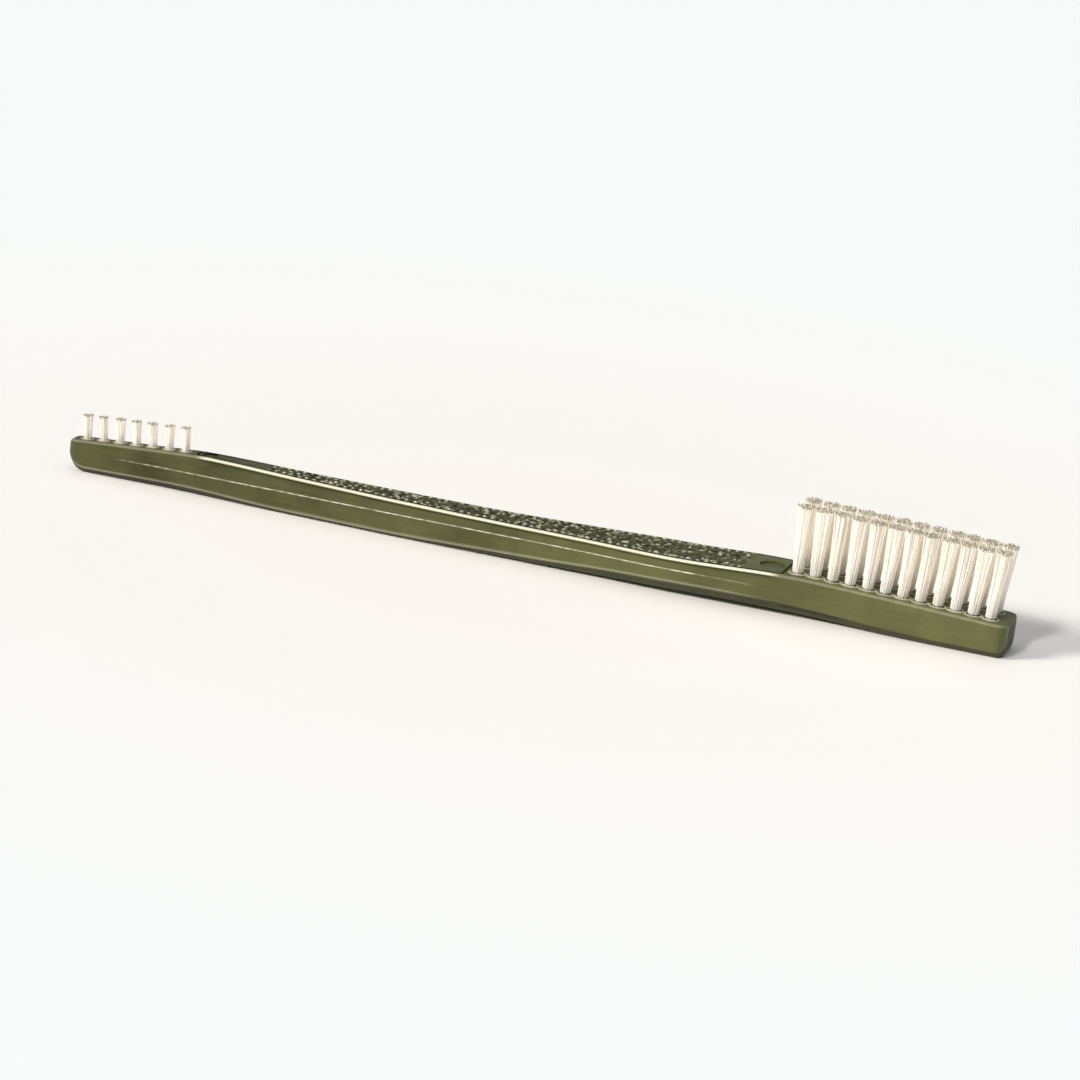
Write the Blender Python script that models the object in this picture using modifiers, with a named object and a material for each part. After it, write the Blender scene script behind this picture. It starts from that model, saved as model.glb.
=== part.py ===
"""Double-ended tufted cleaning brush: one moulded handle, a wide head and a narrow head."""
import math

import bmesh
import bpy
from mathutils import Matrix

MM = 0.001
OBJECT_NAME = "double_ended_brush"

# Handle, lengths measured from the tip of the narrow head
LENGTH = 177.8 * MM
WIDTH_STATIONS = (
    (0.0, 3.9), (16.0, 3.9), (28.0, 4.8), (46.0, 6.0), (64.0, 7.4), (82.0, 8.5),
    (100.0, 10.5), (117.0, 12.8), (129.0, 12.6), (142.0, 11.2), (152.0, 10.7), (177.8, 10.7))
TOP_STATIONS = (
    (0.0, 5.9), (16.0, 6.9), (28.0, 7.5), (46.0, 7.15), (64.0, 6.9), (82.0, 6.8),
    (100.0, 6.95), (118.0, 7.1), (136.0, 7.7), (152.0, 7.2), (177.8, 6.1))
UNDERSIDE_STATIONS = (
    (0.0, 0.0), (8.0, 0.1), (26.0, 0.35), (44.0, 0.0), (58.0, 0.0), (90.0, 0.3),
    (128.0, 1.05), (144.0, 0.65), (166.0, 0.0), (177.8, 0.0))
LOWER_ROUND_STATIONS = (
    (0.0, 1.0), (20.0, 1.0), (40.0, 0.7), (62.0, 0.7), (88.0, 1.2), (112.0, 1.9),
    (138.0, 1.9), (156.0, 1.4), (177.8, 1.2))
STATION_PITCH = 3.0 * MM
NARROW_TIP_RADIUS = 1.95 * MM
NARROW_CHIN_RADIUS = 3.9 * MM
NARROW_BROW_RADIUS = 1.1 * MM
WIDE_CORNER_RADIUS = 1.9 * MM
CORNER_STEPS = 6
TOP_EDGE_ROUND = 0.45 * MM
EDGE_ROUND_SEGMENTS = 3
SHARP_EDGE_ANGLE = math.radians(50.0)

# Grip pad on the top face between the two heads, framed by a groove inside a narrow rim
PANEL_START = 24.8 * MM
PANEL_END = 137.0 * MM
PANEL_RIM = 0.6 * MM
PANEL_CORNER = 1.0 * MM
GROOVE_WIDTH = 0.5 * MM
GROOVE_DEPTH = 0.45 * MM

# Round marks left by the mould's ejector pins, sunk into the pad
PIN_MARKS = ((27.2 * MM, 1.5 * MM), (133.8 * MM, 2.25 * MM))
PIN_MARK_DEPTH = 0.3 * MM
PIN_MARK_SEGMENTS = 32

# Tufts: folded bunches of nylon standing in blind holes
TUFT_PITCH = 3.2 * MM
WIDE_COUNT = 12
WIDE_FIRST = 139.05 * MM
WIDE_ROW_OFFSET = 2.44 * MM
WIDE_HEIGHT = 12.5 * MM
WIDE_ROOT_RADIUS = 1.15 * MM
WIDE_TIP_RADIUS = 1.45 * MM
WIDE_HOLE_DEPTH = 4.1 * MM
WIDE_MEAN_LEAN = 0.05
WIDE_FAN_LEAN = 0.035
NARROW_COUNT = 7
NARROW_FIRST = 3.15 * MM
NARROW_HEIGHT = 4.6 * MM
NARROW_ROOT_RADIUS = 0.8 * MM
NARROW_TIP_RADIUS_TUFT = 1.0 * MM
NARROW_HOLE_DEPTH = 3.6 * MM
NARROW_LEAN = -0.085
TUFT_CLEARANCE = 0.05 * MM
TUFT_FLOOR_GAP = 0.1 * MM
TUFT_TIP_ROUND = 0.12 * MM
TUFT_FLARE_START = 0.1
TUFT_SEGMENTS = 20
HOLE_SEGMENTS = 24
HOLE_OVERSHOOT = 2.0 * MM

# Anchors: flat metal staples, each through the fold of its tuft near the bottom of the hole
ANCHOR_THICKNESS = 0.3 * MM
ANCHOR_GAP = 0.1 * MM
WIDE_ANCHOR_WIDTH = 2.2 * MM
WIDE_ANCHOR_HEIGHT = 1.4 * MM
WIDE_FOLD = 0.9 * MM
NARROW_ANCHOR_HEIGHT = 1.2 * MM
NARROW_FOLD = 0.7 * MM

CUTTER_MARGIN = 1.0 * MM
CUTTER_HALF_SPAN = 15.0 * MM
SLOPE_STEP = 0.5 * MM
BROW_REACH = 0.3 * MM
MERGE_DISTANCE = 0.00001

OLIVE_NYLON = ("olive_plastic", (0.115, 0.125, 0.055), 0.42, 0.0)
CLEAR_NYLON = ("natural_nylon", (0.86, 0.82, 0.72), 0.45, 0.0)
ANCHOR_BRASS = ("anchor_brass", (0.62, 0.47, 0.20), 0.35, 1.0)


def clear_scene():
    for item in list(bpy.data.objects):
        bpy.data.objects.remove(item, do_unlink=True)


def new_collection(name, hidden):
    group = bpy.data.collections.new(name)
    bpy.context.scene.collection.children.link(group)
    group.hide_render = hidden
    return group


def make_material(spec):
    name, colour, roughness, metallic = spec
    material = bpy.data.materials.new(name)
    material.use_nodes = True
    shader = material.node_tree.nodes["Principled BSDF"]
    shader.inputs["Base Color"].default_value = (*colour, 1.0)
    shader.inputs["Roughness"].default_value = roughness
    shader.inputs["Metallic"].default_value = metallic
    return material


def along(stations, distance):
    """Smooth value at a distance along the handle, read through millimetre stations."""
    x = min(max(distance / MM, stations[0][0]), stations[-1][0])
    last = len(stations) - 1
    index = 0
    while index < last - 1 and stations[index + 1][0] < x:
        index += 1

    def rate(i):
        (xa, va), (xb, vb) = stations[i], stations[i + 1]
        return (vb - va) / (xb - xa)

    def slope(i):
        if i in (0, last):
            return rate(min(i, last - 1))
        before, after = rate(i - 1), rate(i)
        if before * after <= 0:
            return 0.0
        return 2 * before * after / (before + after)

    (x0, v0), (x1, v1) = stations[index], stations[index + 1]
    run = x1 - x0
    t = (x - x0) / run
    start = (2 * t ** 3 - 3 * t ** 2 + 1) * v0 + (t ** 3 - 2 * t ** 2 + t) * run * slope(index)
    end = (3 * t ** 2 - 2 * t ** 3) * v1 + (t ** 3 - t ** 2) * run * slope(index + 1)
    return (start + end) * MM


def top_height(distance):
    return along(TOP_STATIONS, distance)


def top_slope(distance):
    rise = top_height(distance + SLOPE_STEP) - top_height(distance - SLOPE_STEP)
    return rise / (2 * SLOPE_STEP)


def half_width(distance):
    """Half the handle width, rounded off at both ends."""
    half = along(WIDTH_STATIONS, distance) / 2
    if distance < NARROW_TIP_RADIUS:
        return half * math.sqrt(max(1 - (1 - distance / NARROW_TIP_RADIUS) ** 2, 0.0))
    reach = distance - (LENGTH - WIDE_CORNER_RADIUS)
    if reach > 0:
        return half - WIDE_CORNER_RADIUS + math.sqrt(max(WIDE_CORNER_RADIUS ** 2 - reach ** 2, 0.0))
    return half


def brow_height(distance):
    """Top of the handle with its front corner rounded off at the narrow tip."""
    height = top_height(distance)
    if distance < NARROW_BROW_RADIUS:
        reach = NARROW_BROW_RADIUS - distance
        height -= NARROW_BROW_RADIUS - math.sqrt(NARROW_BROW_RADIUS ** 2 - reach ** 2)
    return height


def underside_height(distance):
    """Underside of the handle, curving up to a chin at the narrow tip."""
    height = along(UNDERSIDE_STATIONS, distance)
    if distance < NARROW_CHIN_RADIUS:
        reach = NARROW_CHIN_RADIUS - distance
        height += NARROW_CHIN_RADIUS - math.sqrt(NARROW_CHIN_RADIUS ** 2 - reach ** 2)
    return height


def even_steps(start, end, pitch):
    count = max(int(round((end - start) / pitch)), 1)
    return [start + (end - start) * i / count for i in range(count + 1)]


def arc_steps(start, radius, rising):
    """Distances that step evenly round a quarter circle of the given radius."""
    steps = []
    for i in range(CORNER_STEPS):
        angle = math.pi / 2 * i / CORNER_STEPS
        reach = 1 - math.cos(angle) if rising else math.sin(angle)
        steps.append(start + radius * reach)
    return steps


def to_world(distance):
    return distance - LENGTH / 2


def flat_slab(name, points, half_thickness, stood_up, group):
    """Closed outline filled and extruded both ways; stood_up turns it into the XZ plane."""
    curve = bpy.data.curves.new(name, "CURVE")
    curve.dimensions = "2D"
    curve.fill_mode = "BOTH"
    curve.extrude = half_thickness
    spline = curve.splines.new("POLY")
    spline.points.add(len(points) - 1)
    for point, (across, up) in zip(spline.points, points):
        point.co = (across, up, 0.0, 1.0)
    spline.use_cyclic_u = True
    holder = bpy.data.objects.new(name, curve)
    group.objects.link(holder)
    if stood_up:
        holder.rotation_euler = (math.pi / 2, 0.0, 0.0)
    return curve_to_mesh(holder, group)


def curve_to_mesh(holder, group):
    bpy.context.view_layer.update()
    graph = bpy.context.evaluated_depsgraph_get()
    mesh = bpy.data.meshes.new_from_object(holder.evaluated_get(graph))
    mesh.transform(holder.matrix_world)
    name = holder.name
    bpy.data.objects.remove(holder, do_unlink=True)
    weld(mesh)
    solid = bpy.data.objects.new(name, mesh)
    group.objects.link(solid)
    return solid


def weld(mesh):
    work = bmesh.new()
    work.from_mesh(mesh)
    bmesh.ops.remove_doubles(work, verts=work.verts, dist=MERGE_DISTANCE)
    bmesh.ops.recalc_face_normals(work, faces=work.faces)
    work.to_mesh(mesh)
    work.free()


def add_boolean(target, cutter, operation):
    modifier = target.modifiers.new(cutter.name, "BOOLEAN")
    modifier.operation = operation
    modifier.solver = "EXACT"
    modifier.object = cutter


def freeze(item):
    """Replace an object's mesh by its evaluated result and drop its modifiers."""
    bpy.context.view_layer.update()
    graph = bpy.context.evaluated_depsgraph_get()
    mesh = bpy.data.meshes.new_from_object(item.evaluated_get(graph))
    item.modifiers.clear()
    item.data = mesh
    return item


def hide_cutter(item):
    item.hide_render = True
    item.display_type = "WIRE"


def plan_points():
    ends = arc_steps(0.0, NARROW_TIP_RADIUS, True)
    middle = even_steps(NARROW_TIP_RADIUS, LENGTH - WIDE_CORNER_RADIUS, STATION_PITCH)
    corner = arc_steps(LENGTH - WIDE_CORNER_RADIUS, WIDE_CORNER_RADIUS, False)[1:]
    distances = ends[1:] + middle + corner + [LENGTH]
    near = [(to_world(d), -half_width(d)) for d in distances]
    far = [(to_world(d), half_width(d)) for d in reversed(distances)]
    return [(to_world(0.0), 0.0)] + near + far


def side_points():
    chin = arc_steps(0.0, NARROW_CHIN_RADIUS, True)[1:]
    middle = even_steps(NARROW_CHIN_RADIUS, LENGTH, STATION_PITCH)
    lower = [(to_world(d), underside_height(d)) for d in chin + middle]
    first, second = lower[0], lower[1]
    rise = (first[1] - second[1]) / (second[0] - first[0])
    start = (first[0] - BROW_REACH, first[1] + rise * BROW_REACH)
    finish = (to_world(LENGTH) + CUTTER_MARGIN, lower[-1][1])
    brow = arc_steps(0.0, NARROW_BROW_RADIUS, True)[1:]
    distances = brow + even_steps(NARROW_BROW_RADIUS, LENGTH, STATION_PITCH)
    upper = [(to_world(d), brow_height(d)) for d in distances]
    drop = (upper[1][1] - upper[0][1]) / (upper[1][0] - upper[0][0])
    roof_start = (upper[0][0] - BROW_REACH, upper[0][1] - drop * BROW_REACH)
    roof_end = (finish[0], upper[-1][1])
    return [start] + lower + [finish, roof_end] + upper[::-1] + [roof_start]


def mark_rounded_edges(item, widest):
    """Weight the sharp edges by how far each is rounded, as a share of the widest rounding."""
    work = bmesh.new()
    work.from_mesh(item.data)
    layer = work.edges.layers.float.new("bevel_weight_edge")
    for edge in work.edges:
        if len(edge.link_faces) != 2 or edge.calc_face_angle() < SHARP_EDGE_ANGLE:
            continue
        centre = (edge.verts[0].co + edge.verts[1].co) / 2
        distance = centre.x + LENGTH / 2
        middle = (top_height(distance) + underside_height(max(distance, 0.0))) / 2
        rounding = along(LOWER_ROUND_STATIONS, distance) if centre.z < middle else TOP_EDGE_ROUND
        edge[layer] = rounding / widest
    work.to_mesh(item.data)
    work.free()


def build_handle_blank(parts, cutters):
    blank = flat_slab("handle", plan_points(), CUTTER_HALF_SPAN, False, parts)
    side = flat_slab("side_profile", side_points(), CUTTER_HALF_SPAN, True, cutters)
    hide_cutter(side)
    add_boolean(blank, side, "INTERSECT")
    freeze(blank)
    widest = max(radius for distance, radius in LOWER_ROUND_STATIONS) * MM
    mark_rounded_edges(blank, widest)
    rounding = blank.modifiers.new("edge_rounding", "BEVEL")
    rounding.limit_method = "WEIGHT"
    rounding.width = widest
    rounding.segments = EDGE_ROUND_SEGMENTS
    return freeze(blank)


def panel_plan_points(inset):
    """Outline that keeps a distance inside the panel's outer edge, its corners cut off."""
    start, end, side_inset = PANEL_START + inset, PANEL_END - inset, PANEL_RIM + inset
    corner = PANEL_CORNER - inset
    inner = even_steps(start + corner, end - corner, STATION_PITCH)

    def side(sign, distances):
        return [(to_world(d), sign * (half_width(d) - side_inset)) for d in distances]

    def end_corner(distance, sign):
        return (to_world(distance), sign * (half_width(distance) - side_inset - corner))

    near = [end_corner(start, -1)] + side(-1, inner) + [end_corner(end, -1)]
    far = [end_corner(end, 1)] + side(1, inner[::-1]) + [end_corner(start, 1)]
    return near + far


def groove_side_points():
    distances = even_steps(PANEL_START - CUTTER_MARGIN, PANEL_END + CUTTER_MARGIN, STATION_PITCH)
    floor = [(to_world(d), top_height(d) - GROOVE_DEPTH) for d in distances]
    roof_level = max(top_height(d) for d in distances) + CUTTER_MARGIN
    return floor + [(floor[-1][0], roof_level), (floor[0][0], roof_level)]


def build_groove_cutter(cutters):
    """Frame-shaped helper: the panel outline down to the groove floor, less the pad."""
    cutter = flat_slab("groove_cutter", panel_plan_points(0.0), CUTTER_HALF_SPAN, False, cutters)
    floor = flat_slab("groove_floor", groove_side_points(), CUTTER_HALF_SPAN, True, cutters)
    pad = flat_slab("pad_outline", panel_plan_points(GROOVE_WIDTH), CUTTER_HALF_SPAN + CUTTER_MARGIN,
                    False, cutters)
    for item in (cutter, floor, pad):
        hide_cutter(item)
    add_boolean(cutter, floor, "INTERSECT")
    add_boolean(cutter, pad, "DIFFERENCE")
    freeze(cutter)
    bpy.data.objects.remove(floor, do_unlink=True)
    bpy.data.objects.remove(pad, do_unlink=True)
    return cutter


def cylinder_cutter(name, radius, bottom, top, frames, segments, cutters):
    """One helper object holding a straight cylinder at every given frame."""
    work = bmesh.new()
    for frame in frames:
        place = frame @ Matrix.Translation((0.0, 0.0, (bottom + top) / 2))
        bmesh.ops.create_cone(
            work, cap_ends=True, segments=segments, radius1=radius, radius2=radius,
            depth=top - bottom, matrix=place)
    mesh = bpy.data.meshes.new(name)
    work.to_mesh(mesh)
    work.free()
    cutter = bpy.data.objects.new(name, mesh)
    cutters.objects.link(cutter)
    hide_cutter(cutter)
    return cutter


def tuft_frame(distance, across, lean):
    place = Matrix.Translation((to_world(distance), across, top_height(distance)))
    return place @ Matrix.Rotation(lean, 4, "Y")


def wide_frames(sign):
    frames = []
    middle = (WIDE_COUNT - 1) / 2
    for i in range(WIDE_COUNT):
        lean = WIDE_MEAN_LEAN + WIDE_FAN_LEAN * (i - middle) / middle
        frames.append(tuft_frame(WIDE_FIRST + i * TUFT_PITCH, sign * WIDE_ROW_OFFSET, lean))
    return frames


def narrow_frames():
    return [tuft_frame(NARROW_FIRST + i * TUFT_PITCH, 0.0, NARROW_LEAN)
            for i in range(NARROW_COUNT)]


def cut_handle(handle, cutters):
    add_boolean(handle, build_groove_cutter(cutters), "DIFFERENCE")
    freeze(handle)
    for number, (distance, radius) in enumerate(PIN_MARKS):
        tilt = -math.atan(top_slope(distance))
        place = Matrix.Translation((to_world(distance), 0.0, top_height(distance)))
        frame = place @ Matrix.Rotation(tilt, 4, "Y")
        mark = cylinder_cutter("pin_mark_%d" % (number + 1), radius, -PIN_MARK_DEPTH,
                               CUTTER_MARGIN, [frame], PIN_MARK_SEGMENTS, cutters)
        add_boolean(handle, mark, "DIFFERENCE")
    wide = cylinder_cutter("wide_holes", WIDE_ROOT_RADIUS + TUFT_CLEARANCE, -WIDE_HOLE_DEPTH,
                           HOLE_OVERSHOOT, wide_frames(-1) + wide_frames(1), HOLE_SEGMENTS, cutters)
    narrow = cylinder_cutter("narrow_holes", NARROW_ROOT_RADIUS + TUFT_CLEARANCE,
                             -NARROW_HOLE_DEPTH, HOLE_OVERSHOOT, narrow_frames(),
                             HOLE_SEGMENTS, cutters)
    add_boolean(handle, wide, "DIFFERENCE")
    add_boolean(handle, narrow, "DIFFERENCE")
    freeze(handle)


def turned_solid(name, profile, group):
    """Solid of revolution about Z from a profile of radius and height, top to bottom."""
    mesh = bpy.data.meshes.new(name)
    vertices = [(radius, 0.0, height) for radius, height in profile]
    mesh.from_pydata(vertices, [(i, i + 1) for i in range(len(vertices) - 1)], [])
    item = bpy.data.objects.new(name, mesh)
    group.objects.link(item)
    screw = item.modifiers.new("turn", "SCREW")
    screw.steps = TUFT_SEGMENTS
    screw.render_steps = TUFT_SEGMENTS
    screw.use_merge_vertices = True
    screw.merge_threshold = MERGE_DISTANCE
    freeze(item)
    weld(item.data)
    return item


def tuft_mesh(name, root, tip, height, hole_depth, fold, anchor_height, parts, cutters):
    """Flared bunch with a passage across its buried end, above the fold, for the anchor."""
    foot = TUFT_FLOOR_GAP - hole_depth
    profile = [(0.0, height), (tip - TUFT_TIP_ROUND, height), (tip, height - TUFT_TIP_ROUND),
               (root, height * TUFT_FLARE_START), (root, foot), (0.0, foot)]
    tuft = turned_solid(name, profile, parts)
    size = (2 * CUTTER_MARGIN + 2 * root, ANCHOR_THICKNESS + 2 * ANCHOR_GAP,
            anchor_height + 2 * ANCHOR_GAP)
    passage = block(name + "_passage", size, foot + fold + anchor_height / 2)
    move_to(passage, cutters)
    hide_cutter(passage)
    add_boolean(tuft, passage, "DIFFERENCE")
    return freeze(tuft)


def block(name, size, height):
    """Upright block centred over the origin at a height."""
    bpy.ops.mesh.primitive_cube_add(size=1.0, location=(0.0, 0.0, 0.0))
    item = bpy.context.object
    item.name = name
    item.data.transform(Matrix.Diagonal((*size, 1.0)))
    item.data.transform(Matrix.Translation((0.0, 0.0, height)))
    return item


def move_to(item, group):
    for owner in list(item.users_collection):
        owner.objects.unlink(item)
    group.objects.link(item)


def place_copies(pattern, names, frames, material, group):
    pattern.data.materials.clear()
    pattern.data.materials.append(material)
    for name, frame in zip(names, frames):
        copy = bpy.data.objects.new(name, pattern.data)
        copy.matrix_world = frame
        group.objects.link(copy)
    bpy.data.objects.remove(pattern, do_unlink=True)


def wide_names(kind):
    return ["wide_%s_%s_%02d" % (kind, row, i + 1) for row in "ab" for i in range(WIDE_COUNT)]


def build_tufts(parts, cutters, material):
    wide = tuft_mesh("wide_tuft", WIDE_ROOT_RADIUS, WIDE_TIP_RADIUS, WIDE_HEIGHT,
                     WIDE_HOLE_DEPTH, WIDE_FOLD, WIDE_ANCHOR_HEIGHT, parts, cutters)
    place_copies(wide, wide_names("tuft"), wide_frames(-1) + wide_frames(1), material, parts)
    narrow = tuft_mesh("narrow_tuft", NARROW_ROOT_RADIUS, NARROW_TIP_RADIUS_TUFT, NARROW_HEIGHT,
                       NARROW_HOLE_DEPTH, NARROW_FOLD, NARROW_ANCHOR_HEIGHT, parts, cutters)
    names = ["narrow_tuft_%02d" % (i + 1) for i in range(NARROW_COUNT)]
    place_copies(narrow, names, narrow_frames(), material, parts)


def build_anchors(parts, material):
    """Thin upright plates, one through the fold of every wide-head tuft."""
    size = (WIDE_ANCHOR_WIDTH, ANCHOR_THICKNESS, WIDE_ANCHOR_HEIGHT)
    foot = TUFT_FLOOR_GAP - WIDE_HOLE_DEPTH
    pattern = block("wide_anchor", size, foot + WIDE_FOLD + WIDE_ANCHOR_HEIGHT / 2)
    move_to(pattern, parts)
    place_copies(pattern, wide_names("anchor"), wide_frames(-1) + wide_frames(1), material, parts)


def main():
    clear_scene()
    parts = new_collection(OBJECT_NAME, False)
    cutters = new_collection("cutters", True)
    olive = make_material(OLIVE_NYLON)
    nylon = make_material(CLEAR_NYLON)
    brass = make_material(ANCHOR_BRASS)
    handle = build_handle_blank(parts, cutters)
    cut_handle(handle, cutters)
    handle.data.materials.clear()
    handle.data.materials.append(olive)
    build_tufts(parts, cutters, nylon)
    build_anchors(parts, brass)


main()
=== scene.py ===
"""Looks of a double-ended cleaning brush: moulded handle, nylon tufts folded over brass anchors."""
import math

import bpy
import numpy as np
from mathutils import Matrix, Vector


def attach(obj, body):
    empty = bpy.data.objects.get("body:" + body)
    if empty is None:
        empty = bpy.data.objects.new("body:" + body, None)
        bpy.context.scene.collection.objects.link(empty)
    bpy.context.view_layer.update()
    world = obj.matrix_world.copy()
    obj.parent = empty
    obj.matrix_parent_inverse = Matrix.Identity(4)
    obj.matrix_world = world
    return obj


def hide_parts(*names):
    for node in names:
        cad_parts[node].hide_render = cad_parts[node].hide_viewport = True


bl_info = {
    "name": "Double-Ended Cleaning Brush",
    "version": (1, 0, 0),
    "blender": (4, 5, 0),
    "location": "3D View > Sidebar > Brush",
    "description": "Builds a slim moulded brush with a wide and a narrow head of nylon tufts",
    "category": "Add Mesh",
}

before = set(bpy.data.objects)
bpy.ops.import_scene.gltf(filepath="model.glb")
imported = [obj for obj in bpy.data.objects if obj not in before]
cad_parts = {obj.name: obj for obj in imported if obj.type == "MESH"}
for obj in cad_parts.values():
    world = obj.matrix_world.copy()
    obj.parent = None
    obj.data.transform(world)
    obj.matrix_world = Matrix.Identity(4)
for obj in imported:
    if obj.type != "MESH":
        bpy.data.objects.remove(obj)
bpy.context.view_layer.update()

MM = 0.001
ALL_NODES = sorted(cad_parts)

# Handle sections as (distance from the narrow tip, value), all in millimetres
WIDTHS = ((0, 3.9), (16, 3.9), (28, 4.8), (46, 6.0), (64, 7.4), (82, 8.5), (100, 10.5),
          (117, 12.8), (129, 12.6), (142, 11.2), (152, 10.7), (177.8, 10.7))
TOPS = ((0, 5.9), (16, 6.9), (28, 7.5), (46, 7.15), (64, 6.9), (82, 6.8), (100, 6.95),
        (118, 7.1), (136, 7.7), (152, 7.2), (177.8, 6.1))
UNDERSIDES = ((0, 0), (8, 0.1), (26, 0.35), (44, 0), (58, 0), (90, 0.3), (128, 1.05),
              (144, 0.65), (166, 0), (177.8, 0))
LOWER_ROUNDS = ((0, 1.0), (20, 1.0), (40, 0.7), (62, 0.7), (88, 1.2), (112, 1.9),
                (138, 1.9), (156, 1.4), (177.8, 1.2))
PARTING_HEIGHTS = ((0, 3.4), (12, 3.9), (20, 3.95), (60, 4.3), (82, 4.5), (100, 4.75),
                   (117, 4.95), (128, 5.05), (136, 4.8), (142, 4.3), (158, 3.7), (177.8, 3.2))
# How far the moulding flash stands out along the parting line; below zero it is a fine groove
FLASH = ((0, 0), (9, 0), (13, 0.05), (24, 0.08), (45, 0.1), (70, 0.11), (119, 0.11),
         (124, 0.06), (131, 0.03), (134, -0.06), (168, -0.05), (174, 0), (177.8, 0))
LENGTH = 177.8
NARROW_TIP_RADIUS = 1.95
NARROW_CHIN_RADIUS = 3.9
NARROW_BROW_RADIUS = 1.1
WIDE_CORNER_RADIUS = 1.9
TOP_EDGE_ROUND = 0.45
# The lower edge lies between a quarter round (0) and a plain slope (1); its slope is darkened
# with painted shade, and the painted highlight line along its top fades out between two distances
LOWER_SLOPE = 0.85
LOWER_PAINTED_SHADE = 0.55
LOWER_HIGHLIGHT_FADE = (124, 138)
SIDE_DRAFT = 0.018
# Crease under the bead of the rim: depth, drop below the bead and painted shade of its two lines
CREASE = ((0.07, 0.1, 0.8), (0.03, 0.28, 0.4))
CREASE_FADE = 3.0
# The flash along the parting line is ragged up to here
RAGGED_FLASH_END = 132
PARTING_RIDGE = 0.15
# Shares of the full width of the rings that close the flat wide end
CLOSING = (0.96, 0.8, 0.4, 0.0)

# Grip pad, its groove and rim
PANEL_START, PANEL_END = 24.8, 137.0
PANEL_RIM, PANEL_CORNER = 0.6, 1.0
GROOVE_WIDTH, GROOVE_DEPTH = 0.5, 0.45
GRIP_START, GRIP_END = 38.5, 130.0
UNDER_GRIP_START, UNDER_GRIP_END = 44.0, 106.0
UNDER_GRIP_PITCH, UNDER_GRIP_HEIGHT = 0.8, 0.16
# Coarse grains in a row along each edge of the pad
GRIP_ROW_PITCH, GRIP_ROW_HEIGHT = 1.5, 0.28
GRIP_ROW_INSET, GRIP_ROW_SPREAD = 0.3, 0.22
PIN_MARKS = ((27.2, 1.5), (133.8, 2.25))
PIN_MARK_DEPTH = 0.3

# Tufts: distance of the first, pitch, count, offset of the rows, and their holes
TUFT_PITCH = 3.2
WIDE_FIRST, WIDE_COUNT, WIDE_ROW_OFFSET = 139.05, 12, 2.44
WIDE_HOLE_RADIUS, WIDE_HOLE_DEPTH = 1.2, 4.1
WIDE_MEAN_LEAN, WIDE_FAN_LEAN = 0.05, 0.035
NARROW_FIRST, NARROW_COUNT, NARROW_LEAN = 3.15, 7, -0.085
NARROW_HOLE_RADIUS, NARROW_HOLE_DEPTH = 0.85, 3.6
# Lips of the holes and the ring of painted shade inside them, as distances from the hole's edge and
# spreads
LIP_OFFSET, LIP_SPREAD = 0.16, 0.17
DARK_RING_OFFSET, DARK_RING_SPREAD = 0.2, 0.13
# Waves of the wide head's upper sides beside its holes
SCALLOP_DEPTH, SCALLOP_END = 0.07, 176.5
WIDE_HEIGHT, WIDE_ROOT, WIDE_TIP = 12.5, 1.15, 1.92
NARROW_HEIGHT, NARROW_ROOT, NARROW_TIP = 4.6, 0.8, 1.0
FLOOR_GAP = 0.1
ANCHOR_THICKNESS = 0.3
WIDE_FOLD, NARROW_FOLD = 0.9, 0.7
NARROW_ANCHOR_SIZE = (1.5, 0.3, 1.2)

# Lamps: name, azimuth, elevation and spread in degrees, strength, colour
LAMPS = (("key_lamp", -50, 28, 16, 2.6, "FFFBF6"), ("strip_lamp", -16, 38, 7, 1.1, "FFFDF8"),
         ("back_lamp", -160, 55, 30, 0.2, "F6FAFF"), ("overhead_lamp", 20, 80, 50, 0.27, "FFFFFF"))
SKY_STRENGTH, SKY_COLOUR = 0.29, "F4F7FA"

FILAMENT_SIDES = 6
LEG_LEVELS = 7
WIDE_HOLE_SIDES, NARROW_HOLE_SIDES, PIN_MARK_SIDES = 28, 24, 40
# Rows of close-packed filaments stand this share of their pitch apart
PACKED_ROWS = 0.866
SMOOTH_ANGLE = math.radians(38)
NYLON_IOR = 1.53


def linear(hex_colour):
    """An sRGB hex colour as linear RGBA."""
    parts = [int(hex_colour[i:i + 2], 16) / 255 for i in (0, 2, 4)]
    return (*[c / 12.92 if c <= 0.04045 else ((c + 0.055) / 1.055) ** 2.4 for c in parts], 1.0)


def add_node(tree, kind, settings=None, inputs=None, links=None):
    """Adds a node with its settings, its input values and its links from other outputs."""
    item = tree.nodes.new(kind)
    for key, value in (settings or {}).items():
        setattr(item, key, value)
    for key, value in (inputs or {}).items():
        item.inputs[key].default_value = value
    for key, output in (links or {}).items():
        tree.links.new(output, item.inputs[key])
    return item


def new_material(name):
    material = bpy.data.materials.new(name)
    material.use_nodes = True
    return material, material.node_tree, material.node_tree.nodes["Principled BSDF"]


def set_ramp(item, stops):
    """Places a colour ramp's stops; each is a position and a linear colour."""
    ramp = item.color_ramp
    while len(ramp.elements) < len(stops):
        ramp.elements.new(0.5)
    for element, (position, colour) in zip(ramp.elements, stops):
        element.position = position
        element.color = colour


def along(stations, distances):
    """Smooth values at distances along the handle, with no overshoot between stations."""
    x, v = np.array(stations, float).T
    run = np.diff(x)
    rate = np.diff(v) / run
    slope = np.concatenate(([rate[0]], np.zeros(len(x) - 2), [rate[-1]]))
    same = rate[:-1] * rate[1:] > 0
    total = np.where(same, rate[:-1] + rate[1:], 1.0)
    slope[1:-1] = np.where(same, 2 * rate[:-1] * rate[1:] / total, 0.0)
    d = np.clip(np.asarray(distances, float), x[0], x[-1])
    i = np.clip(np.searchsorted(x, d) - 1, 0, len(run) - 1)
    t = (d - x[i]) / run[i]
    start = (2 * t ** 3 - 3 * t ** 2 + 1) * v[i] + (t ** 3 - 2 * t ** 2 + t) * run[i] * slope[i]
    end = (3 * t ** 2 - 2 * t ** 3) * v[i + 1] + (t ** 3 - t ** 2) * run[i] * slope[i + 1]
    return start + end


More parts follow.
